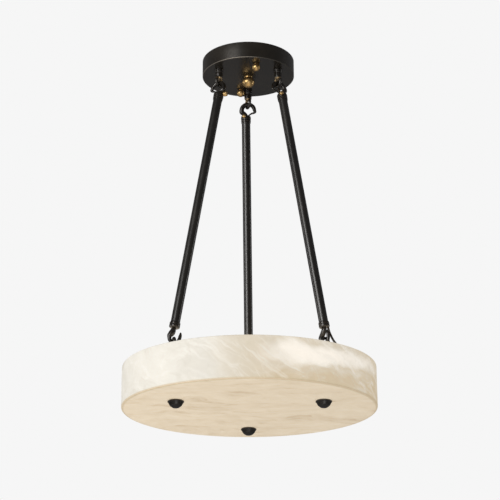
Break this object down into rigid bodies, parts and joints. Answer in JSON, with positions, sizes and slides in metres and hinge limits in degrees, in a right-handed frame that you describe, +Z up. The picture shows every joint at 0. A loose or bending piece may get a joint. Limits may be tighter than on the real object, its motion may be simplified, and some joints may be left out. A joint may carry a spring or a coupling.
{
  "type": "bowl pendant light",
  "caption": "Round alabaster bowl pendant hung from a dark drum canopy by three splayed hooked rods, with brass ball nuts and domed finials.",
  "frame": {"origin": "centre of the canopy's top rim, on the ceiling plane, midway between the two ceiling screws", "axes": "+Z up, -Y towards the viewer of the picture's front, +X to the right; rods stand at 90, 210 and 330 degrees about Z"},
  "size_m": [0.4, 0.4, 0.6128],
  "materials": {
    "black_metal": "satin dark bronze",
    "brass": "polished",
    "zinc_steel": "zinc plated",
    "earth_green": "green",
    "alabaster": "honed, softly lit from within",
    "white_aluminium": "white",
    "board": "white board",
    "led": "phosphor",
    "white_plastic": "matt white",
    "opal_acrylic": "frosted",
    "felt": "felt",
    "rubber": "matt",
    "lead_jacket": "brown jacket"
  },
  "bodies": {
    "canopy": {"canopy_backing_plate": "zinc_steel", "canopy_ball_nuts": "brass", "canopy_bar": "zinc_steel", "canopy_eye_far": "black_metal", "canopy_eye_left": "black_metal", "canopy_eye_nuts": "zinc_steel", "canopy_eye_right": "black_metal", "canopy_shell": "black_metal", "canopy_stud_nuts": "zinc_steel", "canopy_studs": "zinc_steel", "ceiling_strap": "zinc_steel", "centre_ball": "brass", "centre_nipple": "brass", "earth_screw": "earth_green", "lead_bushing": "black_metal", "lead_upper": "lead_jacket", "nipple_nuts": "zinc_steel", "terminal_block": "white_plastic"},
    "rod_far": {"rod_tube_far": "black_metal", "top_ferrule_far": "black_metal", "top_hook_far": "black_metal", "ferrule_screw_far": "brass", "bottom_ferrule_far": "black_metal", "bottom_hook_far": "black_metal"},
    "rod_left": {"rod_tube_left": "black_metal", "top_ferrule_left": "black_metal", "top_hook_left": "black_metal", "ferrule_screw_left": "brass", "bottom_ferrule_left": "black_metal", "bottom_hook_left": "black_metal"},
    "rod_right": {"rod_tube_right": "black_metal", "top_ferrule_right": "black_metal", "top_hook_right": "black_metal", "ferrule_screw_right": "brass", "bottom_ferrule_right": "black_metal", "bottom_hook_right": "black_metal", "lead_in_rod": "lead_jacket"},
    "bowl": {"alabaster_bowl": "alabaster", "bowl_eye_far": "black_metal", "bowl_eye_left": "black_metal", "bowl_eye_right": "black_metal", "cover_grommet": "rubber", "cover_sleeves": "zinc_steel", "driver_screws": "zinc_steel", "felt_washers": "felt", "finial_far": "black_metal", "finial_left": "black_metal", "finial_right": "black_metal", "lead_lower": "lead_jacket", "led_board": "board", "led_chips": "led", "led_driver": "white_plastic", "light_tray": "white_aluminium", "rubber_pads": "rubber", "stud_nuts": "zinc_steel", "top_cover": "opal_acrylic", "tray_spacers": "zinc_steel"}
  },
  "joints": [
    {"name": "bowl_sway", "type": "hinge", "parent": "canopy", "child": "bowl", "pos_m": [0, 0, 0.26759], "axis": [0, 1, 0], "range_deg": [-3, 3]},
    {"name": "rod_far_hinge", "type": "hinge", "parent": "canopy", "child": "rod_far", "pos_m": [0, 0.0565, -0.0582], "axis": [0, 1, 0], "range_deg": [-5.5, 5.5]},
    {"name": "rod_left_hinge", "type": "hinge", "parent": "canopy", "child": "rod_left", "pos_m": [-0.04893, -0.02825, -0.0582], "axis": [0, 1, 0], "range_deg": [-5.5, 5.5]},
    {"name": "rod_right_hinge", "type": "hinge", "parent": "canopy", "child": "rod_right", "pos_m": [0.04893, -0.02825, -0.0582], "axis": [0, 1, 0], "range_deg": [-5.5, 5.5]}
  ],
  "couplings": [
    {"joint": "rod_far_hinge", "follows": "bowl_sway", "ratio": 1.7197},
    {"joint": "rod_left_hinge", "follows": "bowl_sway", "ratio": 1.7197},
    {"joint": "rod_right_hinge", "follows": "bowl_sway", "ratio": 1.7197}
  ]
}
